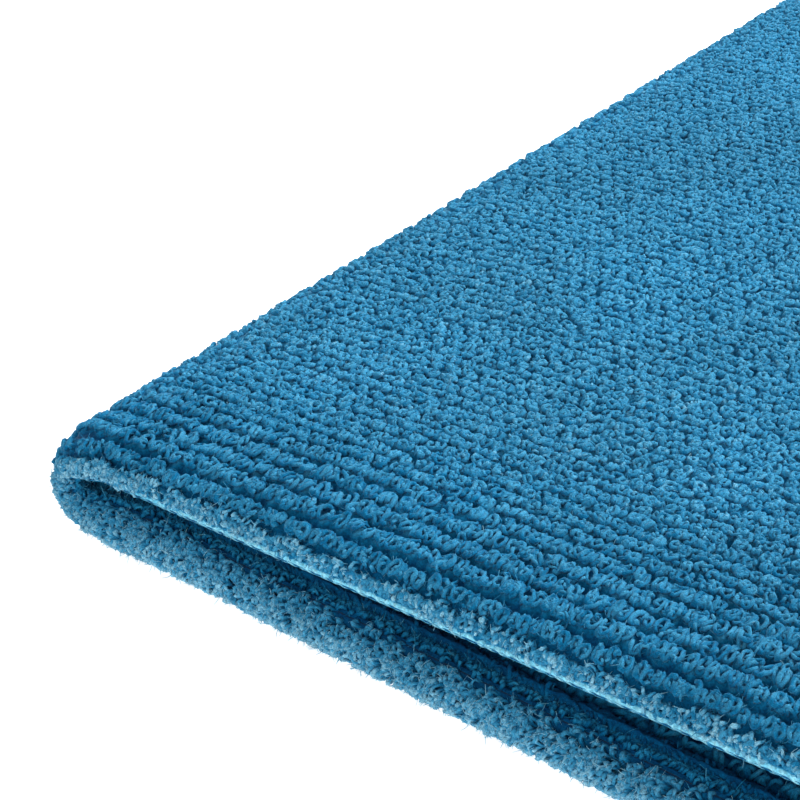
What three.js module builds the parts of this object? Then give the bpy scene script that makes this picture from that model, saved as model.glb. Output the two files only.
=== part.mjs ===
// A double-sided looped microfibre polishing cloth, folded once into two leaves.
//
// Millimetres, +Z up. X runs along the cut front edge, from the fold to the open side, and Y runs
// along the fold. The folded cloth stands on z = 0 with the middle of its outline over the origin.
// The cloth is one panel of knit. Its ground knit carries a looped pile on both faces, and its cut
// edge is fused into a thin rim. Each of these is a solid of its own, split where the cloth bends:
// the lower leaf, the band round the fold, and the upper leaf.

import * as THREE from 'three';

// Driving dimensions
const clothWidth = 300; // laid flat, across the fold
const clothLength = 300; // laid flat, along the fold
const groundThickness = 0.5; // base knit
const pileHeight = 0.9; // loops on each face
const leafGap = 1.4; // air between the two leaves
const rimWidth = 0.8; // fused edge, in from the cut
const rimThickness = 0.7; // fused edge, squeezed flatter than the pile
const runningClearance = 0.1; // left between the bend and a leaf as the bend swings past
const bendSteps = 24; // facets round the half turn of the fold

// Worked out from them
const leafThickness = groundThickness + 2 * pileHeight;
const halfGround = groundThickness / 2;
const halfLeaf = leafThickness / 2;
const halfRim = rimThickness / 2;
const bendRadius = (leafGap + leafThickness) / 2; // of the ground knit's middle
const leafReach = (clothWidth - Math.PI * bendRadius) / 2; // from the bend's axis to the open side
const yCut = clothLength / 2;
const yPile = yCut - rimWidth;
const xCut = leafReach;
const xPile = leafReach - rimWidth;

// The cloth opens about two hinges on the fold's sides, placed so that the ground knit keeps its
// length: a quarter turn at each lays the two leaves flat, end to end.
const hingeInset = (Math.PI / 4) * bendRadius; // from the bend's axis towards the fold
const hingeRise = bendRadius - hingeInset; // from a leaf's middle towards the other leaf

// The end of the band swings this far past the bend's axis, so the leaves start beyond it.
const swing = Math.hypot(hingeInset, halfLeaf + hingeRise) - hingeInset;
const leafStart = swing + runningClearance;

// The outline's middle goes over the origin.
const foldReach = bendRadius + halfLeaf;
const xShift = (foldReach - leafReach) / 2;
const lowerMiddle = halfLeaf;
const upperMiddle = lowerMiddle + 2 * bendRadius;

const microfibre = new THREE.MeshStandardMaterial({ color: 0x2d84b4, roughness: 0.95, metalness: 0 });
const shadedMicrofibre = new THREE.MeshStandardMaterial({ color: 0x1c6794, roughness: 0.95, metalness: 0 });
const knit = new THREE.MeshStandardMaterial({ color: 0x4f9fc6, roughness: 0.85, metalness: 0 });
const fusedKnit = new THREE.MeshStandardMaterial({ color: 0x8cc4da, roughness: 0.6, metalness: 0 });

const cloth = new THREE.Group();
cloth.position.set(xShift, 0, 0);

// A flat layer of one leaf. Its height is measured from the leaf's middle, up the page.
function flatLayer(name, material, [xMin, xMax], [yMin, yMax], [zMin, zMax], zMiddle) {
  const geometry = new THREE.BoxGeometry(xMax - xMin, yMax - yMin, zMax - zMin);
  const layer = new THREE.Mesh(geometry, material);
  layer.name = name;
  layer.position.set((xMin + xMax) / 2, (yMin + yMax) / 2, zMiddle + (zMin + zMax) / 2);
  cloth.add(layer);
}

// A layer of the half-round band, between two radii about the fold's own axis.
function bentLayer(name, material, rInner, rOuter, [yMin, yMax]) {
  const outline = new THREE.Shape();
  outline.absarc(0, 0, rOuter, Math.PI / 2, 1.5 * Math.PI, false);
  outline.absarc(0, 0, rInner, 1.5 * Math.PI, Math.PI / 2, true);
  outline.closePath();
  const geometry = new THREE.ExtrudeGeometry(outline, {
    depth: yMax - yMin,
    bevelEnabled: false,
    curveSegments: bendSteps,
  });
  geometry.rotateX(Math.PI / 2); // the outline's second axis becomes Z, and the depth runs to -Y
  const layer = new THREE.Mesh(geometry, material);
  layer.name = name;
  layer.position.set(0, yMax, lowerMiddle + bendRadius);
  cloth.add(layer);
}

// One leaf: two piles on a ground knit, with the fused rim round its three cut sides.
// outward is -1 for the lower leaf, whose outer pile faces down, and +1 for the upper one.
function leaf(prefix, zMiddle, outward) {
  const across = (low, high) => (outward > 0 ? [low, high] : [-high, -low]);
  const pileX = [leafStart, xPile];
  const pileY = [-yPile, yPile];
  flatLayer(`${prefix}_outer_pile`, microfibre, pileX, pileY, across(halfGround, halfLeaf), zMiddle);
  flatLayer(`${prefix}_ground_knit`, knit, pileX, pileY, [-halfGround, halfGround], zMiddle);
  flatLayer(`${prefix}_inner_pile`, shadedMicrofibre, pileX, pileY, across(-halfLeaf, -halfGround), zMiddle);

  const rimZ = [-halfRim, halfRim];
  flatLayer(`${prefix}_front_rim`, fusedKnit, pileX, [-yCut, -yPile], rimZ, zMiddle);
  flatLayer(`${prefix}_back_rim`, fusedKnit, pileX, [yPile, yCut], rimZ, zMiddle);
  flatLayer(`${prefix}_side_rim`, fusedKnit, [xPile, xCut], [-yCut, yCut], rimZ, zMiddle);
}

// The band round the fold: the same layers, bent through half a turn.
function fold() {
  const pileY = [-yPile, yPile];
  bentLayer('fold_outer_pile', microfibre, bendRadius + halfGround, bendRadius + halfLeaf, pileY);
  bentLayer('fold_ground_knit', knit, bendRadius - halfGround, bendRadius + halfGround, pileY);
  bentLayer('fold_inner_pile', shadedMicrofibre, bendRadius - halfLeaf, bendRadius - halfGround, pileY);

  const rimRadii = [bendRadius - halfRim, bendRadius + halfRim];
  bentLayer('fold_front_rim', fusedKnit, ...rimRadii, [-yCut, -yPile]);
  bentLayer('fold_back_rim', fusedKnit, ...rimRadii, [yPile, yCut]);
}

leaf('lower', lowerMiddle, -1);
fold();
leaf('upper', upperMiddle, 1);

export default cloth;
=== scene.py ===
import math

import bpy
import numpy as np
from mathutils import Matrix, Vector


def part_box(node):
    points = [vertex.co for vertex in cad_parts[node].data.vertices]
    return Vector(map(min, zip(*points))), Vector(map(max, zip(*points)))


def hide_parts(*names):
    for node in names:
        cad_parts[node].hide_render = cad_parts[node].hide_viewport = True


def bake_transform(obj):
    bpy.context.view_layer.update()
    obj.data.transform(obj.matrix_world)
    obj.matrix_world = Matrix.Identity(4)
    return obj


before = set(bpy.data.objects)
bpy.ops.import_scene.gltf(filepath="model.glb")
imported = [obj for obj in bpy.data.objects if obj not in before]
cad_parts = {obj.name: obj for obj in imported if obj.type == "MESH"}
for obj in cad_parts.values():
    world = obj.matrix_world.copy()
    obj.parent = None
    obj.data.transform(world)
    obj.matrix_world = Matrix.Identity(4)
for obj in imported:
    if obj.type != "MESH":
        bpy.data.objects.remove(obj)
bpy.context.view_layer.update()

# A blue looped microfibre polishing cloth, folded once. Sizes here are in millimetres, and
# mesh_object turns them into metres. The cloth's middle surface is followed by u, the distance
# along the cloth from the middle of the fold (up and over is positive, down and under negative).
# Positions across the knit's rows run along Y from the front cut edge.
# Each pile is a bumpy bed of loops. Close to the front corner the loops are real yarn, with stray
# fibres, and they thin out into the bed farther away.

MM = 0.001


def box_mm(node):
    low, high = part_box(node)
    return np.array(low) / MM, np.array(high) / MM


# The frame's own sizes
_fold_low, _fold_high = box_mm("fold_outer_pile")
_leaf_low, _leaf_high = box_mm("lower_outer_pile")
_inner_low, _inner_high = box_mm("lower_inner_pile")
_rim_low, _rim_high = box_mm("lower_side_rim")
AXIS_X = _fold_high[0]  # the fold's axis
AXIS_Z = (_fold_low[2] + _fold_high[2]) / 2
LEAF = _inner_high[2] - _leaf_low[2]  # thickness of one leaf
HALF = LEAF / 2
BEND = AXIS_Z - HALF - _fold_low[2]  # radius of the middle surface round the fold
ARC = math.pi * BEND / 2  # from the middle of the fold to either leaf
REACH = _rim_high[0] - AXIS_X  # from the fold's axis to the open side
LENGTH = _rim_high[1] - _rim_low[1]
FRONT = _rim_low[1]
RIM = (_rim_high[2] - _rim_low[2]) / 2  # half the fused rim's thickness
U_END = ARC + REACH

# The knit
WALE = 0.907  # pitch of the rows inside the cloth
WALE_SPREAD = 0.5  # how much wider the rows near a cut edge are
WALE_WIDEST = 3.4  # the row where that is most
WALE_SETTLE = 2.4  # rows over which it fades
FIRST_ROW = 0.9  # the cut has taken a little off the first row
COURSE = 0.6  # pitch of the loops along a row
UPPER_SHOULDER = 3.2  # width over which the upper leaf's pile rolls down to the cut edge
LOWER_SHOULDER = 0.9
FOOT = 0.12  # what is left of the pile at the cut
OUTER_HEIGHT = HALF
INNER_HEIGHT = HALF * 0.92
LIFT = 2.45  # how far the upper leaf bellies up between the fold and its open side
LIFT_SHAPE = 1.35  # above 1, the belly starts gently from both
CROWN = 0.9  # and how far it rises from its front and back edges
ROLL_OFF = 6.0  # within about this distance
CROWN_EASE = 15.0  # the crown fades out this close to the fold and to the open side
PUFF = 0.4  # how far the fold stands up beside the upper leaf
PUFF_FRONT = 0.25  # and how much more it does at its cut ends
PUFF_FADE = 25.0  # which fades over this distance
SPLAY = 0.6  # how far the lower leaf's outer pile splays out at its cut edges
SPLAY_PLACE = 0.9  # in from the cut
SPLAY_WIDTH = 0.8
FAN = 0.3  # how far the pile fans out on top of the fold
FAN_WIDTH = 1.9
FAN_FADE = 70.0  # along the fold
PACKED = 0.42  # share of the inner pile's height that is pressed flat inside the fold
CURL_TAIL = 0.6  # the last of the cloth, past the bend of its cut edge
CURL_PLACES = (-ARC - 5.0, -ARC, 0.0, ARC, ARC + 5.0)
CURL_ANGLES = (82.0, 66.0, 50.0, 39.0, 33.0)  # the cut edges curl towards the inside of the fold
CURL_RADII = (1.05, 1.1, 1.5, 2.8, 3.6)
CURL_HOLD = 4.0  # the upper leaf's curl ends at the cut plane, and pulls this much cloth with it
CURL_RELEASE = 8.0  # and less and less of it over this distance

DEPTH = 0.42  # from the top of a tuft to the pit beside it
NAP = 0.05  # unevenness of the fibres on the tufts
ROUGH = 0.26  # unevenness of the yarn's skin, as a share of its radius
GROUND = 0.25  # half the ground knit's thickness
BACK_GAP = 0.03  # from the cloth's middle to the back of a bed
RIM_DEPTH = 0.42
RIM_AROUND = 22  # points round it
RIM_LIP = 1.5  # how much farther the fused edge reaches on the inside of the fold
FINE_STEP = 0.3  # tufts are shaped where a bed's points are closer than this
COARSE_STEP = 0.5  # and left to the material where they are farther apart than this
YARN_U, YARN_S = 52.0, 86.0  # how far real yarn stands from the front corner, on top
YARN_THIN, YARN_FADE = 1.38, 0.35  # it is gone at this many times that far, and thins out before
DETAIL_U = 75.0  # no real yarn stands farther than this from the fold
DETAIL_FADE = 15.0
TOP_S = 132.0  # nor farther than this from the front edge, on top
INNER_S = 9.0  # and inside the fold
BENEATH_U = 7.0  # real yarn goes this far round under the fold
BENEATH_S = 85.0
FLOOR_GAP = 0.05  # kept between the floor and the cloth's lowest fibres
HOLLOW = 4.8  # how much lower the floor is where the upper leaf lies when the cloth is open
HOLLOW_SLOPE = 14.0  # width of the slope down to it
BARE_PAINTED_SHADE = 0.22  # painted shade: how much darker a bed is made where no yarn stands, in place of the shadows that yarn casts
SLOT_PITCH = 1.3  # of the short slots along the fused edge

RNG = np.random.default_rng(7)


# ---------------------------------------------------------------- the cloth's shape

def ripple(across, along):
    """One slow wave over the upper leaf and one quicker, lower wave that slants across it. across
    and along run from 0 to 1."""
    slow = 0.35 * np.sin(5.1 * along + 0.6) * np.sin(math.pi * across) ** 2
    quick = 0.18 * np.sin(13.0 * along + 7.0 * across) * np.sin(math.pi * across)
    return slow + quick


def lift(x, y):
    """How far the upper leaf stands above a flat one, x from the fold's axis."""
    across = np.clip(x, 0, REACH) / REACH
    along = (y - FRONT) / LENGTH
    belly = LIFT * np.sin(math.pi * across) ** LIFT_SHAPE
    from_cut = np.minimum(y - FRONT, FRONT + LENGTH - y)
    inside = 1 - np.exp(-np.clip(from_cut, 0, None) / ROLL_OFF)
    off_ends = np.clip(x / CROWN_EASE, 0, 1) * np.clip((REACH - x) / CROWN_EASE, 0, 1)
    return belly + CROWN * inside * off_ends + ripple(across, along) * inside


def curled(u, t):
    """Where the cloth's middle lies at t in from a curled cut edge: how far in, how far it has
    risen towards the inside of the fold, and the angle it has turned through."""
    most = np.radians(np.interp(u, CURL_PLACES, CURL_ANGLES))
    radius = np.interp(u, CURL_PLACES, CURL_RADII)
    start = CURL_TAIL + radius * most
    turn = np.clip((start - t) / radius, 0, most)
    tail = np.clip(CURL_TAIL - t, 0, CURL_TAIL)
    flat = np.maximum(t, start)
    inward = flat - radius * np.sin(turn) - tail * np.cos(turn)
    upper = np.clip(u / ARC, 0, 1) * np.exp(-np.clip(t - CURL_HOLD, 0, None) / CURL_RELEASE)
    inward = inward - upper * (start - radius * np.sin(most) - CURL_TAIL * np.cos(most))
    rise = radius * (1 - np.cos(turn)) + tail * np.sin(turn)
    return inward, rise, turn


def middle(u, t):
    """Points of the middle surface and its outward normals, for arrays u and t. t is the distance
    along the cloth from its front cut edge."""
    u, t = np.broadcast_arrays(u, t)
    from_back = t > LENGTH / 2
    inward, rise, turn = curled(u, np.where(from_back, LENGTH - t, t))
    y = np.where(from_back, FRONT + LENGTH - inward, FRONT + inward)
    angle = np.clip(u, -ARC, ARC) / BEND
    past = np.abs(u) - np.abs(angle) * BEND
    x = -BEND * np.cos(angle) + past
    z = AXIS_Z + BEND * np.sin(angle)
    puff = PUFF + PUFF_FRONT * np.exp(-np.minimum(y - FRONT, FRONT + LENGTH - y) / PUFF_FADE)
    puff = puff * np.clip((x + BEND) / (2 * BEND), 0, 1) ** 2 * np.clip(1.4 - x / REACH, 0, 1)
    raised = np.where(u > 0, lift(x, y) + puff * np.sin(np.maximum(angle, 0)), 0.0)
    point = np.stack([AXIS_X + x, y, z + raised], -1)
    level = np.stack([-np.cos(angle), 0 * x, np.sin(angle)], -1)
    point = point - level * rise[..., None]
    normal = level * np.cos(turn)[..., None]
    normal[..., 1] += np.sin(turn) * np.where(from_back, 1.0, -1.0)
    return point, normal


def row_edges():
    """Where the knit's rows begin, in from the front cut edge, widest at the two cut edges."""
    k = np.arange(int(LENGTH / 2 / WALE) + 1)
    widths = WALE + WALE_SPREAD * np.exp(-(((k - WALE_WIDEST) / WALE_SETTLE) ** 2))
    widths[0] *= FIRST_ROW
    half = widths[np.cumsum(widths) < LENGTH / 2]
    both = np.concatenate([half, half[::-1]])
    return np.concatenate([[0.0], np.cumsum(both * (LENGTH / both.sum()))])


ROWS = row_edges()


def surface_point(side, height, u, t):
    """Points on a pile's outline, for arrays u and t. side is 1 for the outer face of the cloth
    and -1 for the inner one. The pile rolls down to the cut edges."""
    base, normal = middle(u, t)
    shoulder = np.interp(u, (-ARC - 4, ARC + 2), (LOWER_SHOULDER, UPPER_SHOULDER))
    from_cut = np.minimum(np.minimum(t, LENGTH - t) / shoulder, (U_END - np.abs(u)) / UPPER_SHOULDER)
    from_cut = np.clip(from_cut, 0, 1)
    away = FOOT + (height - FOOT) * np.sqrt(1 - (1 - from_cut) ** 2)
    if side < 0:
        away = away * (1 - PACKED * np.clip(1.6 - np.abs(u) / ARC, 0, 1))
    else:
        low = np.clip((0.35 - u / ARC) / 2.4, 0, 1)
        from_end = np.minimum(t, LENGTH - t)
        away = away + SPLAY * low * np.exp(-(((from_end - SPLAY_PLACE) / SPLAY_WIDTH) ** 2))
        away = away + FAN * np.exp(-(((u - 0.9 * ARC) / FAN_WIDTH) ** 2) - from_end / FAN_FADE)
    point = base + normal * (side * away)[..., None]
    point[..., 2] = np.maximum(point[..., 2], 0.0)
    return point


def unit(v):
    return v / np.maximum(np.linalg.norm(v, axis=-1, keepdims=True), 1e-9)


def surface(side, height, u, t):
    """Points on a pile's outline, the way each course runs, and the outline's outward normals."""
    reach = 0.05
    low, high = np.maximum(t - reach, 0), np.minimum(t + reach, LENGTH)
    left, right = np.maximum(u - reach, -U_END), np.minimum(u + reach, U_END)
    point = surface_point(side, height, u, t)
    along = surface_point(side, height, right, t) - surface_point(side, height, left, t)
    ahead = surface_point(side, height, u, high) - surface_point(side, height, u, low)
    return point, unit(along), unit(side * np.cross(along, ahead))


# ---------------------------------------------------------------- the bed of loops

class LatticeNoise:
    """Smooth random values from -1 to 1 over u and s, seeded, with one new value per cell."""

    def __init__(self, cell, rng):
        self.cell = cell
        self.values = rng.uniform(-1, 1, (int(2 * U_END / cell) + 4, int(LENGTH / cell) + 4))

    def __call__(self, u, s):
        a = np.clip((u + U_END) / self.cell, 0, self.values.shape[0] - 2.01)
        b = np.clip(s / self.cell, 0, self.values.shape[1] - 2.01)
        i, j = a.astype(int), b.astype(int)
        fa, fb = a - i, b - j
        fa, fb = fa * fa * (3 - 2 * fa), fb * fb * (3 - 2 * fb)
        low = self.values[i, j] * (1 - fa) + self.values[i + 1, j] * fa
        high = self.values[i, j + 1] * (1 - fa) + self.values[i + 1, j + 1] * fa
        return low * (1 - fb) + high * fb


class Bed:
    """Tufts on a pile: one for every course of every row, jittered, and how high each stands."""

    def __init__(self, seed):
        rng = np.random.default_rng(seed)
        self.mid = (ROWS[1:] + ROWS[:-1]) / 2
        self.width = np.diff(ROWS)
        rows, courses = len(self.mid), int(2 * U_END / COURSE) + 4
        self.shift = rng.normal(0, 0.16, (rows, courses))
        self.side = rng.normal(0, 0.06, (rows, courses))
        self.slant = rng.normal(0.0, 0.30, (rows, courses))
        short = (np.arange(courses)[None] + np.arange(rows)[:, None]) % 2
        self.tall = (1 - 0.32 * short) * rng.uniform(0.74, 1.0, (rows, courses))
        from_edge = np.minimum(np.arange(rows), rows - 1 - np.arange(rows))
        self.edge = np.exp(-((from_edge / 7.5) ** 2))  # 1 at a cut edge, where rows stand well apart
        self.coarse = LatticeNoise(0.36, rng)
        self.fine = LatticeNoise(0.19, rng)

    def edge_at(self, s):
        """1 at a cut edge, falling to 0 inside."""
        return np.interp(s, self.mid, self.edge)

    def centre(self, row, course):
        """Where a tuft stands: u, s."""
        zig = 0.15 * (1 - self.edge[row]) * (2 * ((course + row) % 2) - 1)
        u = (course - 1 + 0.5 * (row % 2) + self.shift[row, course]) * COURSE - U_END
        s = self.mid[row] + (zig + self.side[row, course]) * self.width[row]
        return u, s

    def relief(self, u, s):
        """How high the bed stands at u, s, from 0 in a pit to 1 on the tallest tuft."""
        row0 = np.searchsorted(ROWS, s, side="right") - 1
        row0 = np.clip(row0, 0, len(self.mid) - 1)
        best = np.zeros(np.broadcast(u, s).shape)
        for dr in (-1, 0, 1):
            row = np.clip(row0 + dr, 0, len(self.mid) - 1)
            col0 = np.round((u + U_END) / COURSE + 1 - 0.5 * (row % 2)).astype(int)
            length = (0.62 - 0.14 * self.edge[row]) * self.width[row]
            for dc in (-1, 0, 1):
                col = np.clip(col0 + dc, 0, self.tall.shape[1] - 1)
                cu, cs = self.centre(row, col)
                across = (s - cs) / length
                along = (u - cu - self.slant[row, col] * (s - cs)) / (0.68 * COURSE)
                dome = self.tall[row, col] * np.clip(1 - along ** 2 - across ** 2, 0, 1) ** 0.6
                best = np.maximum(best, dome)
        return best

    def nap(self, u, s):
        """Small unevenness of the fibres on top of the tufts."""
        return 0.6 * self.coarse(u, s) + 0.4 * self.fine(u, s)


# ---------------------------------------------------------------- meshes

def mesh_object(name, points, quads, smooth=True, triangles=None, **values):
    """A mesh from points in millimetres and four-sided faces, with a value per point for
    each named attribute."""
    points = np.asarray(points, np.float32).reshape(-1, 3) * MM
    corners = np.asarray(quads, np.int32).reshape(-1)
    sizes = np.full(len(corners) // 4, 4, np.int32)
    if triangles is not None and len(triangles):
        corners = np.concatenate([corners, np.asarray(triangles, np.int32).reshape(-1)])
        sizes = np.concatenate([sizes, np.full(len(triangles), 3, np.int32)])
    mesh = bpy.data.meshes.new(name)
    mesh.vertices.add(len(points))
    mesh.vertices.foreach_set("co", points.reshape(-1))
    mesh.loops.add(len(corners))
    mesh.loops.foreach_set("vertex_index", corners)
    mesh.polygons.add(len(sizes))
    starts = np.concatenate([[0], np.cumsum(sizes)[:-1]]).astype(np.int32)
    mesh.polygons.foreach_set("loop_start", starts)
    mesh.update(calc_edges=True)
    mesh.polygons.foreach_set("use_smooth", np.full(len(sizes), smooth))
    for key, value in values.items():
        layer = mesh.attributes.new(key, "FLOAT", "POINT")
        layer.data.foreach_set("value", np.asarray(value, np.float32).reshape(-1))
    obj = bpy.data.objects.new(name, mesh)
    bpy.context.scene.collection.objects.link(obj)
    return obj


def grid_quads(ids):
    """Faces of a grid of point numbers."""
    return np.stack([ids[:-1, :-1], ids[:-1, 1:], ids[1:, 1:], ids[1:, :-1]], -1).reshape(-1, 4)


def spaced(stops):
    """Places from the first stop to the last. Each stop is (place, step), and the step grows
    evenly from one stop to the next."""
    places = [stops[0][0]]
    for (a, step_a), (b, step_b) in zip(stops, stops[1:]):
        count = max(2, round((b - a) / ((step_a + step_b) / 2)))
        t = np.linspace(0, 1, count + 1)[1:]
        ease = t * step_a + (step_b - step_a) * t * t / 2
        places.extend(a + (b - a) * ease / ease[-1])
    return np.array(places)


class Pile:
    """One face of the cloth: which way it faces, how high it stands, and its tufts."""

    def __init__(self, side, height, seed):
        self.side = side
        self.height = height
        self.bed = Bed(seed)

    def surface(self, u, t):
        return surface(self.side, self.height, u, t)


def zipped(front, back):
    """Triangles that join two lines of points of different counts, from end to end."""
    match = np.round(np.linspace(0, len(back) - 1, len(front))).astype(int)
    j = np.arange(len(front) - 1)
    along_front = np.stack([front[j], front[j + 1], back[match[j]]], -1)
    moved = match[j + 1] != match[j]
    along_back = np.stack([front[j + 1], back[match[j + 1]], back[match[j]]], -1)[moved]
    return np.concatenate([along_front, along_back])


BACK_STOPS = [
    (0.12, 0.25), (3.0, 0.4), (12, 3.0),
    (LENGTH - 12, 3.0), (LENGTH - 3.0, 0.4), (LENGTH - 0.12, 0.25)]


def plainness(stops, at):
    """1 where the steps are too far apart to show the tufts, 0 where they are close."""
    places, steps = np.array(stops).T
    return np.clip((np.interp(at, places, steps) - FINE_STEP) / (COARSE_STEP - FINE_STEP), 0, 1)


def bed_face(pile, u, t, plain, sink):
    """The bumpy face of a bed: its points, and the relief and the nap there."""
    point, _, lean = pile.surface(u, t)
    relief = pile.bed.relief(u, t)
    nap = pile.bed.nap(u, t)
    fade = np.clip((U_END - np.abs(u)) / 1.5, 0, 1)
    fade = fade * np.clip(np.minimum(t, LENGTH - t) / 0.15, 0, 1)
    drop = (DEPTH * (relief - 1) * (1 - 0.8 * plain) + NAP * nap - sink(u, t)) * fade
    return point + lean * drop[..., None], relief, nap


def bed_shade(pile, t, relief, nap, painted_shade_share):
    """Where a bed's points are on the ramp of dye and painted shade: the painted shade between rows is
    deeper at a cut edge, and the bed is darker where no yarn stands, as painted shade in place of the
    yarn's shadows."""
    edge = pile.bed.edge_at(t)
    shade = (0.36 * (1 - edge)) + (0.46 + 0.27 * edge) * relief + 0.10 * nap
    return np.clip(calmed(shade, t) - BARE_PAINTED_SHADE * painted_shade_share, 0, 1)


def pile_bed(name, pile, upper, u_stops, t_stops, sink, cover):
    """One pile of one leaf, with its half of the fold: a bumpy face over a plain back. cover
    says how thickly yarn stands on it."""
    u = spaced(u_stops)
    u = u if upper else -u
    t = spaced(t_stops)
    uu, tt = np.meshgrid(u, t, indexing="ij")
    plain = np.maximum(plainness(u_stops, np.abs(uu)), plainness(t_stops, tt))
    point, relief, nap = bed_face(pile, uu, tt, plain, sink)
    back_t = spaced(BACK_STOPS)
    back, normal = middle(u[:, None], back_t[None])
    back = back + pile.side * BACK_GAP * normal
    rows, cols, fewer = len(u), len(t), len(back_t)
    face_ids = np.arange(rows * cols).reshape(rows, cols)
    back_ids = np.arange(rows * fewer).reshape(rows, fewer) + rows * cols
    quads = np.concatenate([
        grid_quads(face_ids),
        grid_quads(back_ids[:, ::-1]),
        grid_quads(np.stack([back_ids[:, 0], face_ids[:, 0]], -1)),
        grid_quads(np.stack([face_ids[:, -1], back_ids[:, -1]], -1)),
    ])
    near_end = zipped(face_ids[0], back_ids[0])
    far_end = zipped(face_ids[-1], back_ids[-1])[:, ::-1]
    ends = np.concatenate([near_end, far_end])
    if (pile.side > 0) == upper:
        quads, ends = quads[:, ::-1], ends[:, ::-1]
    points = np.concatenate([point.reshape(-1, 3), back.reshape(-1, 3)])
    shade = bed_shade(pile, tt, relief, nap, 1 - cover(uu, tt))
    on_back = np.zeros(back.size // 3)
    return mesh_object(
        name, points, quads, triangles=ends,
        relief=np.concatenate([shade.reshape(-1), on_back]),
        plain=np.concatenate([plain.reshape(-1), on_back]))


def strands(name, centre, radius, sides, rough=0.0, **values):
    """Tubes along many lines at once. centre is (strands, steps, 3) and radius (strands, steps).
    rough is how uneven their skin is, as a share of the radius."""
    count, steps = radius.shape
    centre[..., 2] = np.maximum(centre[..., 2], radius)  # none goes through the floor
    along = np.gradient(centre, axis=1)
    along /= np.maximum(np.linalg.norm(along, axis=-1, keepdims=True), 1e-9)
    guide = np.cross(centre[:, -1] - centre[:, 0], centre[:, steps // 2] - centre[:, 0])
    guide += np.array([1e-5, 2e-5, 3e-5])
    guide = (guide / np.linalg.norm(guide, axis=-1, keepdims=True))[:, None]
    across = np.cross(along, guide)
    across /= np.maximum(np.linalg.norm(across, axis=-1, keepdims=True), 1e-9)
    other = np.cross(along, across)
    angle = np.arange(sides) * 2 * math.pi / sides
    ring = np.cos(angle)[:, None] * across[:, :, None] + np.sin(angle)[:, None] * other[:, :, None]
    skin = radius[..., None] * (1 + rough * RNG.uniform(-1, 1, (count, steps, sides)))
    points = centre[:, :, None] + ring * skin[..., None]
    k = np.arange(steps - 1)[:, None] * sides
    a = np.arange(sides)[None]
    b = (a + 1) % sides
    body = np.stack([k + a, k + b, k + sides + b, k + sides + a], -1).reshape(-1, 4)
    quads = (np.arange(count) * steps * sides)[:, None, None] + body[None]
    ends = []
    for row, turned in ((0, True), (steps - 1, False)):
        fan = np.array([[0, j + 1, j] if turned else [0, j, j + 1] for j in range(1, sides - 1)])
        fan = fan + row * sides
        ends.append((np.arange(count) * steps * sides)[:, None, None] + fan[None])
    ends = np.concatenate(ends, axis=1).reshape(-1, 3)
    repeated = {key: np.repeat(value.reshape(-1), sides) for key, value in values.items()}
    return mesh_object(name, points, quads.reshape(-1, 4), triangles=ends, **repeated)


class Yarn:
    """Centre lines, radii and shades of many short lengths of yarn or fibre, each (count, steps)."""

    def __init__(self, centre, radius, shade):
        self.centre, self.radius, self.shade = centre, radius, shade


def calmed(shade, s):
    """Shades that differ less from one another away from the front edge."""
    calm = 0.55 * np.clip((s - 25) / 45, 0, 1)
    return shade + (0.60 - shade) * calm


def places(pile, upper, reach_u, reach_s, per_tuft, keep, rng):
    """Where yarn stands: the row, course, u and s of each tuft that keep lets through."""
    rows = np.arange(np.searchsorted(ROWS, reach_s))
    courses = np.arange(pile.bed.tall.shape[1])
    row, course = (a.reshape(-1) for a in np.meshgrid(rows, courses, indexing="ij"))
    u, s = pile.bed.centre(row, course)
    inside = (u > 0) if upper else (u < 0)
    inside &= np.abs(u) < reach_u
    count = rng.poisson(per_tuft * keep(u, s) * inside)
    first = rng.uniform(0, 1, len(u)) < keep(u, s)
    count = np.where(inside & first, np.maximum(count, 1), 0)
    return (np.repeat(a, count) for a in (row, course, u, s))


def scattered(pile, upper, reach_u, t_range, per_mm2, rng):
    """Yarn at places that take no notice of the tufts: the row, course, u and t of each."""
    count = int(reach_u * (t_range[1] - t_range[0]) * per_mm2)
    u = rng.uniform(0, reach_u, count) * (1 if upper else -1)
    t = rng.uniform(*t_range, count)
    row = np.searchsorted(ROWS, t, side="right") - 1
    course = rng.integers(0, pile.bed.tall.shape[1], count)
    return row, course, u, t


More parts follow.
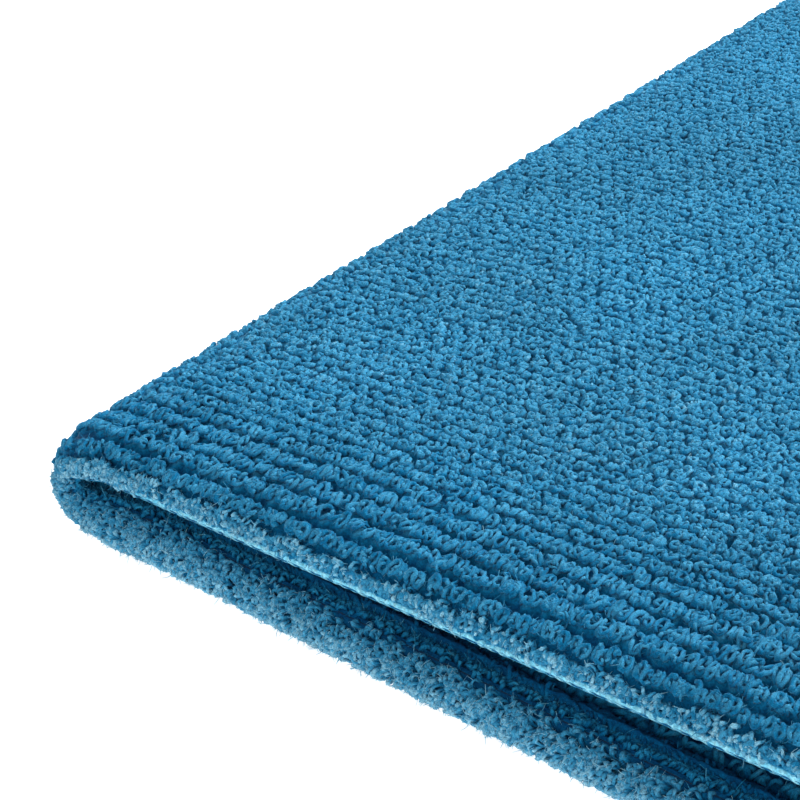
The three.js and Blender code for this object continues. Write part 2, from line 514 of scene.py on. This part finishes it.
def yarn_loops(pile, row, course, u, s, rng, thick, span, rise, yaw, lean_by, sunk, over=0.0, steps=9):
    """Loops of yarn that stand on a pile at u, s. thick and rise are ranges in millimetres, span is
    a range of shares of the row's width, yaw is a mean and a spread in degrees from the course,
    and over is how far the ones at the cut hang over it."""
    count = len(u)
    width = pile.bed.width[row]
    tall = pile.bed.tall[row, course]
    root, course_way, lean = pile.surface(u, s)
    wale_way = np.cross(lean, course_way)
    spread = yaw[1] * (1 - 0.35 * pile.bed.edge[row])
    turn = np.radians(yaw[0] + spread * rng.normal(0, 1, count))[:, None]
    flat = np.cos(turn) * course_way + np.sin(turn) * wale_way
    beside = np.cross(lean, flat)
    up = unit(lean + rng.normal(lean_by[0], lean_by[1], (count, 1)) * beside)
    theta = np.linspace(-0.20 * math.pi, 1.20 * math.pi, steps)[None, :, None]
    bulk = rng.uniform(*thick, count)
    part = rng.uniform(*span, count) * (1 - 0.12 * pile.bed.edge[row])
    reach = np.maximum(part * width - bulk, 0.5 * bulk) / 2
    high = rng.uniform(*rise, count) * tall
    low = sunk + bulk / 2
    twist = rng.normal(0, 0.14, (count, 1, 1))
    root = root - (pile.side * over * np.exp(-s / 0.35))[:, None] * wale_way
    centre = (
        root[:, None]
        + flat[:, None] * reach[:, None, None] * np.cos(theta)
        + up[:, None] * (high[:, None, None] * (np.sin(theta) - 1) - low[:, None, None])
        + beside[:, None] * twist * (theta / math.pi - 0.5)
        + rng.normal(0, 0.025, (count, steps, 3))
    )
    swell = 0.80 + 0.20 * np.sin(np.clip(theta[..., 0], 0, math.pi))
    radius = (bulk / 2)[:, None] * swell * rng.uniform(0.88, 1.12, (count, steps))
    height = np.clip(np.sin(theta[..., 0]), 0, 1)
    edge = pile.bed.edge[row][:, None]
    # Painted light and shade: a loop is darker low down and lighter towards its top, the more so by a cut
    # edge
    shade = 0.40 - 0.20 * edge + (0.33 + 0.15 * edge) * height + 0.12 * rng.uniform(-1, 1, (count, 1))
    return Yarn(centre, radius, np.clip(shade, 0, 1))


def yarn_rings(pile, row, course, u, s, rng, thick, across, along, lifted, steps=12):
    """Rings of yarn that lie over the tufts at u, s. thick and lifted are in millimetres, across is
    a range of shares of the row's width, and along is one of the course's."""
    count = len(u)
    root, course_way, lean = pile.surface(u, s)
    wale_way = np.cross(lean, course_way)
    turn = rng.normal(0, 0.28, count)[:, None]
    far = np.cos(turn) * wale_way + np.sin(turn) * course_way
    near = np.cross(far, lean)
    bulk = rng.uniform(*thick, count)[:, None]
    long = rng.uniform(*across, count)[:, None] * pile.bed.width[row][:, None]
    long = np.maximum(long - bulk, 0.4 * bulk) / 2
    wide = rng.uniform(*along, count)[:, None] * COURSE
    wide = np.maximum(wide - bulk, 0.4 * bulk) / 2
    theta = rng.uniform(0, 2 * math.pi, (count, 1)) + np.linspace(0, 1.8 * math.pi, steps)
    tip = rng.normal(0, 0.18, (count, 2))
    height = lifted - bulk / 2 - 0.20 * long * np.cos(theta) ** 2
    height = height + tip[:, :1] * long * np.cos(theta) + tip[:, 1:] * wide * np.sin(theta)
    height = height - 0.22 * (1 - pile.bed.tall[row, course][:, None])
    centre = (
        root[:, None]
        + far[:, None] * (long * np.cos(theta))[..., None]
        + near[:, None] * (wide * np.sin(theta))[..., None]
        + lean[:, None] * height[..., None]
        + rng.normal(0, 0.03, (count, steps, 3))
    )
    radius = bulk / 2 * rng.uniform(0.82, 1.18, (count, steps))
    edge = pile.bed.edge[row][:, None]
    # Painted shade: a ring is darker where it dips into the grooves between rows, and darker near a cut
    # edge
    shade = 0.66 - 0.10 * edge - (0.10 + 0.14 * edge) * np.cos(theta) ** 2
    shade = shade + 0.12 * rng.uniform(-1, 1, (count, 1)) + 0.08 * rng.uniform(-1, 1, (count, steps))
    shade = calmed(shade, s[:, None])
    return Yarn(centre, radius, np.clip(shade, 0, 1))


def fibres(yarn, rate, rng, length, thick, stand=0.5, steps=4):
    """Fine fibres that fray out of lengths of yarn. rate is how many for each of them, and stand
    how straight out they start."""
    source = np.repeat(np.arange(len(yarn.radius)), rng.poisson(rate, len(yarn.radius)))
    count = len(source)
    last = yarn.radius.shape[1] - 1
    step = rng.integers(1, last, count)
    root = yarn.centre[source, step]
    along = unit(yarn.centre[source, step + 1] - yarn.centre[source, step - 1])
    middle_of = yarn.centre[source].mean(axis=1)
    out = unit(root - middle_of + rng.normal(0, 0.12, (count, 3)))
    away = unit(out + rng.normal(0, 0.5, (count, 3)))
    root = root + away * (yarn.radius[source, step] * 0.8)[:, None]
    sign = np.where(rng.uniform(0, 1, (count, 1)) < 0.5, 1.0, -1.0)
    way = unit(0.65 * sign * along + stand * away + rng.normal(0, 0.45, (count, 3)))
    bend = rng.normal(0, 1.0, (count, 3)) - 0.9 * away
    t = np.linspace(0, 1, steps)[None, :, None]
    size = rng.uniform(*length, count)[:, None, None]
    centre = root[:, None] + size * (way[:, None] * t + 0.5 * bend[:, None] * t * t)
    radius = rng.uniform(*thick, count)[:, None] * (1 - 0.55 * t[..., 0]) / 2
    shade = yarn.shade[source, step][:, None] + 0.16 * t[..., 0] + 0.1 * rng.uniform(-1, 1, (count, 1))
    return Yarn(centre, radius, np.clip(shade, 0, 1))


def squared(angle, power=0.7):
    """A circle's cosine and sine, squared off a little."""
    c, s = np.cos(angle), np.sin(angle)
    return np.sign(c) * np.abs(c) ** power, np.sign(s) * np.abs(s) ** power


def rim_stitches(t, n):
    """Relief of the fused edge at t along it and n up its face: a scalloped lip, a line of short
    slots, and a band of beads above."""
    place = t / SLOT_PITCH + 0.18 * np.sin(0.9 * t) + 0.12 * np.sin(2.3 * t)
    slot = np.clip(1.35 * np.cos(2 * math.pi * place), 0, 1) ** 0.5
    slots = slot * np.exp(-((n + 0.03) / 0.11) ** 2)
    scallops = 0.22 * np.abs(np.sin(math.pi * t / COURSE))
    return np.clip(1 - 0.95 * slots - scallops, 0, 1)


def rim_bar(path, pale_and_lit, t_stops, around=RIM_AROUND):
    """A closed bar along a cut edge. path(t, a, n) gives the point t along it, a in from the cut
    and n above the cloth's middle. Returns points, faces, end caps and the relief."""
    t = spaced(t_stops)
    angle = np.linspace(0, 2 * math.pi, around, endpoint=False)
    c, s = squared(angle)
    tt, cc = np.meshgrid(t, c, indexing="ij")
    _, ss = np.meshgrid(t, s, indexing="ij")
    relief = rim_stitches(tt, ss * RIM)
    pale_and_lit = pale_and_lit * np.clip((tt - ARC) / 7.0, 0.25, 1)
    out = 1 + 0.34 * (relief - 1) * (cc > 0) + 0.05 * np.sin(9 * tt + 3 * ss)
    lip = np.where(ss < 0, RIM_LIP, 1.0)
    point = path(tt, RIM_DEPTH / 2 * (1 - cc * out), RIM * lip * ss * (0.97 + 0.03 * relief))
    rows = len(t)
    k = np.arange(rows - 1)[:, None] * around
    a = np.arange(around)[None]
    b = (a + 1) % around
    quads = np.stack([k + a, k + around + a, k + around + b, k + b], -1).reshape(-1, 4)
    fan = np.array([[0, j, j + 1] for j in range(1, around - 1)])
    caps = np.concatenate([fan, fan[:, ::-1] + (rows - 1) * around])
    # Painted shade: the face of the bar under the piles stays dark, and so do its slots and the hollows of
    # its scallops
    shade = np.where(cc > -0.2, 0.20 + pale_and_lit * relief, 0.2)
    return point.reshape(-1, 3), quads, caps, shade.reshape(-1)


def rim(name, upper, pale_and_lit, inset):
    """The fused cut edge of one leaf, along its front, its back and its open side. inset is how
    far the piles hang over it."""
    sign = 1.0 if upper else -1.0

    def raised(u, t, n):
        base, normal = middle(u, t)
        return base + normal * n[..., None]

    def front(t, a, n):
        return raised(sign * t, a + inset, n)

    def back(t, a, n):
        return raised(sign * t, LENGTH - a - inset, n)

    def side(t, a, n):
        return raised(sign * (U_END - a), t, n)

    parts = [
        (rim_bar(front, pale_and_lit, [(0, 0.10), (60, 0.12), (U_END, 0.3)]), upper),
        (rim_bar(back, pale_and_lit, [(0, 0.3), (U_END, 0.4)]), not upper),
        (rim_bar(side, pale_and_lit, [(0.1, 0.4), (LENGTH - 0.1, 0.4)]), not upper),
    ]
    points, faces, caps, shades, first = [], [], [], [], 0
    for (point, quads, ends, shade), flip in parts:
        points.append(point)
        faces.append((quads[:, ::-1] if flip else quads) + first)
        caps.append((ends[:, ::-1] if flip else ends) + first)
        shades.append(shade)
        first += len(point)
    return mesh_object(
        name, np.concatenate(points), np.concatenate(faces),
        triangles=np.concatenate(caps), relief=np.concatenate(shades))


def ground_sheet(name, upper):
    """The ground knit of one leaf, with its half of the fold: one thin closed sheet."""
    inset = 0.25
    u = spaced([(0, 0.25), (ARC, 0.25), (ARC + 6, 2.0), (U_END - inset, 3.0)])
    u = u if upper else -u
    base, normal = middle(u[:, None], spaced(BACK_STOPS)[None])
    outside, inside = base + normal * GROUND, base - normal * GROUND
    count = base.size // 3
    ids = np.arange(count).reshape(base.shape[:2])
    ring = np.concatenate([ids[0, :-1], ids[:-1, -1], ids[-1, :0:-1], ids[:0:-1, 0]])
    after = np.roll(ring, -1)
    walls = np.stack([ring, ring + count, after + count, after], -1)
    quads = np.concatenate([grid_quads(ids), grid_quads(ids[:, ::-1] + count), walls])
    if upper:
        quads = quads[:, ::-1]
    points = np.concatenate([outside.reshape(-1, 3), inside.reshape(-1, 3)])
    return mesh_object(name, points, quads, relief=np.full(len(points), 0.3))


# ---------------------------------------------------------------- materials

# Four colours each: in a pit, on a loop's side, on its top, and on a frayed end. They are the blue dye
# with painted shade, darkest in the pits, and a painted highlight on the tops
RAMP_PLACES = (0.02, 0.40, 0.75, 1.0)
OUTER_DYE_AND_SHADE = ((0, 70, 114), (8, 108, 153), (60, 146, 186), (142, 198, 220))
INNER_DYE_AND_SHADE = ((0, 66, 110), (3, 101, 150), (38, 142, 187), (124, 196, 220))
FUSED_DYE_AND_SHADE = ((0, 72, 120), (20, 128, 176), (92, 178, 208), (150, 210, 226))


def new_material(name):
    material = bpy.data.materials.new(name)
    material.use_nodes = True
    nodes = material.node_tree.nodes
    shader = next(n for n in nodes if n.type == "BSDF_PRINCIPLED")
    return material, nodes, material.node_tree.links, shader


def node(nodes, kind, **settings):
    made = nodes.new(kind)
    for key, value in settings.items():
        setattr(made, key, value)
    return made


def srgb(r, g, b):
    """A colour as a screen shows it, from 0 to 255, as the shader's linear one."""
    linear = (((c / 255 + 0.055) / 1.055) ** 2.4 if c > 10 else c / 255 / 12.92 for c in (r, g, b))
    return tuple(linear) + (1.0,)


def noise(nodes, links, place, scale, detail):
    made = node(nodes, "ShaderNodeTexNoise")
    made.inputs["Scale"].default_value = scale
    made.inputs["Detail"].default_value = detail
    links.new(place, made.inputs["Vector"])
    return made.outputs["Fac"]


def mapped(nodes, links, value, from_low, from_high, to_low, to_high):
    """A value moved from one range to another."""
    made = node(nodes, "ShaderNodeMapRange")
    ends = {"From Min": from_low, "From Max": from_high, "To Min": to_low, "To Max": to_high}
    for socket, end in ends.items():
        made.inputs[socket].default_value = end
    links.new(value, made.inputs["Value"])
    return made.outputs["Result"]


def product(nodes, links, a, b):
    made = node(nodes, "ShaderNodeMath", operation="MULTIPLY")
    links.new(a, made.inputs[0])
    links.new(b, made.inputs[1])
    return made.outputs["Value"]


def bumped(nodes, links, height, strength, distance):
    made = node(nodes, "ShaderNodeBump")
    made.inputs["Strength"].default_value = strength
    made.inputs["Distance"].default_value = distance * MM
    links.new(height, made.inputs["Height"])
    return made


def dye_and_shade_ramp(nodes, links, value, dye_and_shade):
    """The four colours of dye and painted shade, from the shaded pits to the frayed ends."""
    ramp = node(nodes, "ShaderNodeValToRGB")
    for place in RAMP_PLACES[1:-1]:
        ramp.color_ramp.elements.new(place)
    for element, place, colour in zip(ramp.color_ramp.elements, RAMP_PLACES, dye_and_shade):
        element.position = place
        element.color = srgb(*colour)
    links.new(value, ramp.inputs["Fac"])
    return ramp.outputs["Color"]


def far_tufts(nodes, links, place):
    """Tufts where the bed's mesh is too coarse to have them: high in the middle of each cell, with painted
    shade between the cells, and all kept low on the ramp as painted shade in place of the yarn's shadows.
    """
    cells = node(nodes, "ShaderNodeTexVoronoi")
    cells.inputs["Scale"].default_value = 1 / (0.95 * WALE * MM)
    links.new(place, cells.inputs["Vector"])
    return mapped(nodes, links, cells.outputs["Distance"], 0, 0.75, 0.60, 0.14)


def microfibre(name, dye_and_shade, sheen, grain=9000.0, bump=0.5):
    """Dyed split polyester with painted shade and light: dark between the loops, pale on their tips, with
    a soft nap.
    """
    material, nodes, links, shader = new_material(name)
    shader.inputs["Specular IOR Level"].default_value = 0.08
    shader.inputs["Sheen Weight"].default_value = sheen
    shader.inputs["Sheen Roughness"].default_value = 0.45
    shader.inputs["Sheen Tint"].default_value = srgb(190, 222, 240)
    place = node(nodes, "ShaderNodeTexCoord").outputs["Object"]
    # relief is each point's place on the ramp: painted shade low on the tufts and loops, painted light
    # high on them
    relief = node(nodes, "ShaderNodeAttribute", attribute_name="relief").outputs["Fac"]
    plain = node(nodes, "ShaderNodeAttribute", attribute_name="plain").outputs["Fac"]
    tuft = far_tufts(nodes, links, place)
    seen = node(nodes, "ShaderNodeMix", data_type="FLOAT")
    links.new(plain, seen.inputs["Factor"])
    links.new(relief, seen.inputs[2])
    links.new(tuft, seen.inputs[3])
    colour = dye_and_shade_ramp(nodes, links, seen.outputs[0], dye_and_shade)
    patches = noise(nodes, links, place, 90.0, 4.0)
    fibres = noise(nodes, links, place, grain, 3.0)
    shade = mapped(nodes, links, patches, 0.3, 0.7, 0.88, 1.10)
    speck = mapped(nodes, links, fibres, 0.3, 0.7, 0.60, 1.32)
    dyed = node(nodes, "ShaderNodeVectorMath", operation="SCALE")
    links.new(colour, dyed.inputs[0])
    links.new(product(nodes, links, shade, speck), dyed.inputs["Scale"])
    links.new(dyed.outputs["Vector"], shader.inputs["Base Color"])
    links.new(mapped(nodes, links, fibres, 0, 1, 0.78, 0.98), shader.inputs["Roughness"])
    domes = bumped(nodes, links, product(nodes, links, tuft, plain), 0.8, 0.3)
    skin = bumped(nodes, links, fibres, bump, 0.06)
    links.new(domes.outputs["Normal"], skin.inputs["Normal"])
    links.new(skin.outputs["Normal"], shader.inputs["Normal"])
    return material


# ---------------------------------------------------------------- stage, light and camera

STAGE = 3000.0  # half the floor's side


def make_stage():
    """A pale floor. Beyond the fold it is a little lower, which leaves room for the upper leaf's
    belly when the cloth is open."""
    profile = [
        (-STAGE, -HOLLOW), (AXIS_X - HOLLOW_SLOPE, -HOLLOW),
        (AXIS_X, -FLOOR_GAP), (STAGE, -FLOOR_GAP)]
    points = [(x * MM, y * MM, z * MM) for x, z in profile for y in (-STAGE, STAGE)]
    mesh = bpy.data.meshes.new("floor")
    mesh.from_pydata(points, [], [(k, k + 2, k + 3, k + 1) for k in (0, 2, 4)])
    floor = bpy.data.objects.new("floor", mesh)
    bpy.context.scene.collection.objects.link(floor)
    material, nodes, links, shader = new_material("floor_white")
    shader.inputs["Base Color"].default_value = (0.7, 0.7, 0.7, 1)
    shader.inputs["Roughness"].default_value = 0.9
    shader.inputs["Specular IOR Level"].default_value = 0.1
    shader.inputs["Emission Color"].default_value = (1, 1, 1, 1)
    shader.inputs["Emission Strength"].default_value = 0.8
    mesh.materials.append(material)


def make_world():
    world = bpy.data.worlds.new("studio")
    world.use_nodes = True
    background = world.node_tree.nodes["Background"]
    background.inputs["Color"].default_value = (1, 1, 1, 1)
    background.inputs["Strength"].default_value = 0.55
    bpy.context.scene.world = world
    bpy.context.scene.view_settings.view_transform = "Standard"


def area_light(name, place, target, size, power):
    light = bpy.data.lights.new(name, "AREA")
    light.shape = "SQUARE"
    light.size = size
    light.energy = power
    lamp = bpy.data.objects.new(name, light)
    lamp.location = place
    lamp.rotation_mode = "QUATERNION"
    lamp.rotation_quaternion = (Vector(target) - Vector(place)).to_track_quat("-Z", "Y")
    bpy.context.scene.collection.objects.link(lamp)


def make_lights():
    area_light("key", (0.16, 0.26, 0.36), (-0.03, -0.06, 0), 0.3, 4.3)
    area_light("front", (0.25, -0.9, 0.45), (-0.05, -0.12, 0), 0.5, 3.3)
    area_light("fold", (-0.20, 0.08, 0.10), (-0.07, -0.06, 0), 0.15, 0.45)


CAMERA_FROM_CORNER = (79.8, -70.9, 75.7)  # from the fold's front end, on the floor under its axis
CAMERA_AZIMUTH = 38.27
CAMERA_ELEVATION = 32.35
CAMERA_ROLL = -0.38
CAMERA_LENS = 98.7


def make_camera():
    data = bpy.data.cameras.new("camera")
    data.lens = CAMERA_LENS
    data.clip_start = 0.005
    data.clip_end = 20
    camera = bpy.data.objects.new("camera", data)
    dx, dy, dz = CAMERA_FROM_CORNER
    camera.location = Vector((AXIS_X + dx, FRONT + dy, _fold_low[2] + dz)) * MM
    a, e = math.radians(CAMERA_AZIMUTH), math.radians(CAMERA_ELEVATION)
    back = Vector((math.sin(a) * math.cos(e), -math.cos(a) * math.cos(e), math.sin(e)))
    camera.rotation_mode = "QUATERNION"
    turn = (-back).to_track_quat("-Z", "Y")
    roll = Matrix.Rotation(math.radians(CAMERA_ROLL), 3, "Z").to_quaternion()
    camera.rotation_quaternion = turn @ roll
    bpy.context.scene.collection.objects.link(camera)
    bpy.context.scene.camera = camera


# ---------------------------------------------------------------- the cloth

make_camera()
make_world()
make_stage()
make_lights()

OUTER = microfibre("outer_microfibre", OUTER_DYE_AND_SHADE, 0.12)
INNER = microfibre("inner_microfibre", INNER_DYE_AND_SHADE, 0.04)
YARN = microfibre("pile_yarn", OUTER_DYE_AND_SHADE, 0.12, grain=14000.0, bump=0.9)
INNER_YARN = microfibre("inner_pile_yarn", INNER_DYE_AND_SHADE, 0.05, grain=14000.0, bump=0.9)
FUSED = microfibre("fused_edge", FUSED_DYE_AND_SHADE, 0.04, grain=7000.0)
KNIT = microfibre("ground_knit", INNER_DYE_AND_SHADE, 0.04)

outer = Pile(1, OUTER_HEIGHT, 11)
inner = Pile(-1, INNER_HEIGHT, 12)


def near_front(u, s):
    """How thickly yarn stands on top: 1 near the front end of the fold, 0 farther away."""
    reach = np.abs(u) / YARN_U + s / YARN_S
    return np.clip((YARN_THIN - reach) / YARN_FADE, 0, 1)


def within(reach):
    """How thickly yarn stands near the front edge: 1 at the edge, 0 beyond reach."""

    def thickness(u, s):
        from_cut = np.clip((reach - s) / (0.4 * reach), 0, 1)
        return from_cut * np.clip((DETAIL_U - np.abs(u)) / DETAIL_FADE, 0, 1)

    return thickness


def under_fold(u, s):
    """How thickly yarn stands under the fold."""
    return np.clip((BENEATH_U + u) / 3, 0, 1)


# A bed sinks a little where yarn stands on it, to make room.

def upper_sink(u, s):
    off_fold = np.clip((np.abs(u) - 2) / 4, 0.25, 1)
    return (0.16 + 0.16 * outer.bed.edge_at(s)) * near_front(u, s) * off_fold


def lower_sink(u, s):
    return 0.20 * within(INNER_S)(u, s) + 0.25 * within(2.5)(u, s)


def no_sink(u, s):
    return 0.0 * u


def both_edges(fine, near, far, plain):
    """Steps along the cloth that are fine at the front, plainer inside, and close at the back."""
    return [
        (0, 0.04), (0.6, fine), (near, fine * 1.15), (far, plain),
        (LENGTH - 4, plain), (LENGTH - 0.8, 0.25), (LENGTH, 0.05)]


def make_beds():
    upper_outer = pile_bed(
        "upper_outer_pile_bed", outer, True,
        [(0, 0.13), (55, 0.17), (75, 0.5), (U_END - 3, 0.6), (U_END, 0.15)],
        [(0, 0.04), (0.6, 0.12), (85, 0.20), (115, 0.5),
         (LENGTH - 4, 0.6), (LENGTH - 0.8, 0.25), (LENGTH, 0.05)],
        upper_sink, near_front)
    lower_outer = pile_bed(
        "lower_outer_pile_bed", outer, False,
        [(0, 0.13), (8, 0.18), (60, 0.3), (75, 0.6), (U_END - 3, 0.6), (U_END, 0.15)],
        both_edges(0.11, 5, 12, 0.6), lower_sink, within(INNER_S))
    lower_inner = pile_bed(
        "lower_inner_pile_bed", inner, False,
        [(0, 0.16), (8, 0.2), (60, 0.35), (75, 0.6), (U_END - 3, 0.6), (U_END, 0.15)],
        both_edges(0.13, 7, 14, 0.6), lower_sink, within(INNER_S))
    upper_inner = pile_bed(
        "upper_inner_pile_bed", inner, True,
        [(0, 0.16), (8, 0.3), (20, 0.6), (U_END - 3, 0.7), (U_END, 0.15)],
        both_edges(0.2, 3, 8, 0.7), no_sink, within(INNER_S))
    return upper_outer, lower_outer, lower_inner, upper_inner


def dress(material, *objects):
    for obj in objects:
        obj.data.materials.append(material)


upper_outer, lower_outer, lower_inner, upper_inner = make_beds()
dress(OUTER, upper_outer, lower_outer)
dress(INNER, upper_inner, lower_inner)

# How many lengths of yarn stand on each tuft, on average
ONE_EACH = 1.15
TWO_EACH = 2.0


def frayed_and_lit_at_cut(yarn, s, amount, width):
    """Yarn is paler towards a cut edge, where its ends are frayed, and lighter there as a painted
    highlight for the light they catch.
    """
    yarn.shade = np.clip(yarn.shade + amount * np.exp(-s / width)[:, None], 0, 1)
    return yarn


def shortened(yarn, steps=9):
    """The same yarn with a set number of points along it."""
    have = np.linspace(0, 1, yarn.radius.shape[1])
    want = np.linspace(0, 1, steps)
    low = np.minimum((want * (len(have) - 1)).astype(int), len(have) - 2)
    part = want * (len(have) - 1) - low
    mix = [
        a[:, low] * (1 - w) + a[:, low + 1] * w
        for a, w in ((yarn.centre, part[:, None]), (yarn.radius, part), (yarn.shade, part))
    ]
    return Yarn(*mix)


def merged(*yarns):
    parts = zip(*((yarn.centre, yarn.radius, yarn.shade) for yarn in yarns))
    return Yarn(*(np.concatenate(part) for part in parts))


def make_upper_yarn():
    row, course, u, s = places(outer, True, DETAIL_U, TOP_S, ONE_EACH, near_front, RNG)
    rings = yarn_rings(
        outer, row, course, u, s, RNG, thick=(0.21, 0.31), across=(0.84, 1.04),
        along=(1.0, 1.4), lifted=0.10)
    rings = frayed_and_lit_at_cut(rings, s, 0.18, 0.9)
    rate = 0.5 + 9.0 * np.clip(1 - s / 20, 0, 1) + 2.0 * np.exp(-np.abs(u) / 3.0)
    row, course, u, s = places(outer, True, DETAIL_U, TOP_S, TWO_EACH, near_front, RNG)
    u = u + RNG.normal(0, 0.15, len(u))
    s = s + RNG.normal(0, 0.16, len(s)) * outer.bed.width[row]
    strays = yarn_loops(
        outer, row, course, u, s, RNG, thick=(0.13, 0.22), span=(0.3, 0.6), rise=(0.25, 0.40),
        yaw=(60, 60), lean_by=(0.0, 0.8), sunk=-0.10, steps=6)
    sets = [
        scattered(outer, True, DETAIL_U, (0.12, 0.9), 12, RNG),
        scattered(outer, True, 8, (0.0, 0.6), 26, RNG),
    ]
    row, course, u, t = (np.concatenate(parts) for parts in zip(*sets))
    first = yarn_loops(
        outer, row, course, u, t, RNG, thick=(0.16, 0.26), span=(0.5, 0.9), rise=(0.25, 0.4),
        yaw=(80, 60), lean_by=(0.1, 0.6), sunk=-0.12, over=0.32 * np.exp(-np.abs(u) / 6))
    first = frayed_and_lit_at_cut(first, t, 0.26, 1.5)
    hairs = merged(
        fibres(rings, rate, RNG, length=(0.14, 0.34), thick=(0.035, 0.065), stand=0.3),
        fibres(first, 5.0, RNG, length=(0.14, 0.32), thick=(0.035, 0.065), stand=0.4))
    return rings, merged(shortened(strays), shortened(first)), hairs


def make_fold_yarn():
    """The underside of the fold, which shows at its end and in its outline."""
    row, course, u, s = places(outer, False, BENEATH_U, BENEATH_S, ONE_EACH, under_fold, RNG)
    return yarn_loops(
        outer, row, course, u, s, RNG, thick=(0.24, 0.36), span=(0.6, 0.95), rise=(0.26, 0.42),
        yaw=(90, 40), lean_by=(0.0, 0.5), sunk=-0.02)


def make_lower_outer_yarn():
    sets = [
        scattered(outer, False, DETAIL_U, (0.9, 2.6), 15, RNG),
        scattered(outer, False, DETAIL_U, (0.0, 1.0), 34, RNG),
    ]
    row, course, u, t = (np.concatenate(parts) for parts in zip(*sets))
    curls = yarn_loops(
        outer, row, course, u, t, RNG, thick=(0.17, 0.28), span=(0.55, 0.95), rise=(0.45, 0.75),
        yaw=(85, 30), lean_by=(-0.6, 0.5), sunk=-0.28, over=0.22)
    # Painted light and shade: the curls are darker right at the cut, in the crease between the leaves, and
    # lighter farther in
    curls.shade = np.clip(curls.shade + 0.24 * np.clip(t, 0, 1.6)[:, None], 0, 1)
    loops = merged(make_fold_yarn(), curls)
    hairs = fibres(curls, 4.5, RNG, length=(0.15, 0.34), thick=(0.035, 0.065), stand=0.5)
    # Painted light: the lower leaf's fibres are made paler, to light the band under the upper leaf
    hairs.shade = np.clip(hairs.shade + 0.12, 0, 1)
    return loops, hairs


def make_lower_inner_yarn():
    row, course, u, s = places(inner, False, DETAIL_U, INNER_S, TWO_EACH, within(INNER_S), RNG)
    loops = yarn_loops(
        inner, row, course, u, s, RNG, thick=(0.22, 0.36), span=(0.7, 1.0), rise=(0.35, 0.6),
        yaw=(75, 45), lean_by=(0.2, 0.45), sunk=-0.10)
    row, course, u, t = scattered(inner, False, DETAIL_U, (0.0, 1.3), 20, RNG)
    curls = yarn_loops(
        inner, row, course, u, t, RNG, thick=(0.16, 0.27), span=(0.5, 0.8), rise=(0.4, 0.65),
        yaw=(85, 35), lean_by=(0.3, 0.5), sunk=-0.22, over=0.22)
    loops = merged(loops, curls)
    hairs = fibres(loops, 2.0, RNG, length=(0.2, 0.45), thick=(0.035, 0.07), stand=0.5)
    return loops, hairs


def yarn_pieces(prefix, material, loops, hairs, rings=None, sides=6):
    made = [
        strands(prefix + "_loops", loops.centre, loops.radius, sides, rough=ROUGH, relief=loops.shade),
        strands(prefix + "_fibres", hairs.centre, hairs.radius, 3, relief=hairs.shade),
    ]
    if rings is not None:
        made.append(
            strands(prefix + "_rings", rings.centre, rings.radius, sides, rough=ROUGH, relief=rings.shade))
    dress(material, *made)
    return made


upper_pieces = [upper_outer, upper_inner]
lower_pieces = [lower_outer, lower_inner]
upper_rings, upper_loops, upper_hairs = make_upper_yarn()
upper_pieces += yarn_pieces("upper_outer_pile", YARN, upper_loops, upper_hairs, upper_rings)
lower_pieces += yarn_pieces("lower_outer_pile", YARN, *make_lower_outer_yarn())
lower_pieces += yarn_pieces("lower_inner_pile", INNER_YARN, *make_lower_inner_yarn())

# The upper rim is made pale, partly the fused edge's own colour and partly painted light; the lower rim
# gets none of it, as painted shade under the upper leaf
upper_rim = rim("upper_rim", True, pale_and_lit=0.75, inset=0.0)
lower_rim = rim("lower_rim", False, pale_and_lit=0.0, inset=0.3)
dress(FUSED, upper_rim, lower_rim)
upper_ground = ground_sheet("upper_ground", True)
lower_ground = ground_sheet("lower_ground", False)
dress(KNIT, upper_ground, lower_ground)


def bend_between(start, end, objects):
    """Bakes each object's placement into its mesh. start and end, two points of a quarter of the fold, are
    not used.
    """
    start, end = Vector(start), Vector(end)
    for obj in objects:
        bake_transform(obj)


foot_of_fold = (AXIS_X, 0, AXIS_Z - BEND)
side_of_fold = (AXIS_X - BEND, 0, AXIS_Z)
top_of_fold = (AXIS_X, 0, AXIS_Z + BEND)
bend_between(
    foot_of_fold, side_of_fold,
    lower_pieces + [lower_rim, lower_ground])
bend_between(
    side_of_fold, top_of_fold,
    upper_pieces + [upper_rim, upper_ground])

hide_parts("upper_outer_pile", "fold_outer_pile")
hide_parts("lower_outer_pile")
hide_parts("upper_inner_pile", "fold_inner_pile")
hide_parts("lower_inner_pile")
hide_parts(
    "upper_front_rim", "upper_back_rim", "upper_side_rim",
    "fold_front_rim", "fold_back_rim")
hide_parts("lower_front_rim", "lower_back_rim", "lower_side_rim")
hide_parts("upper_ground_knit", "fold_ground_knit")
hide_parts("lower_ground_knit")
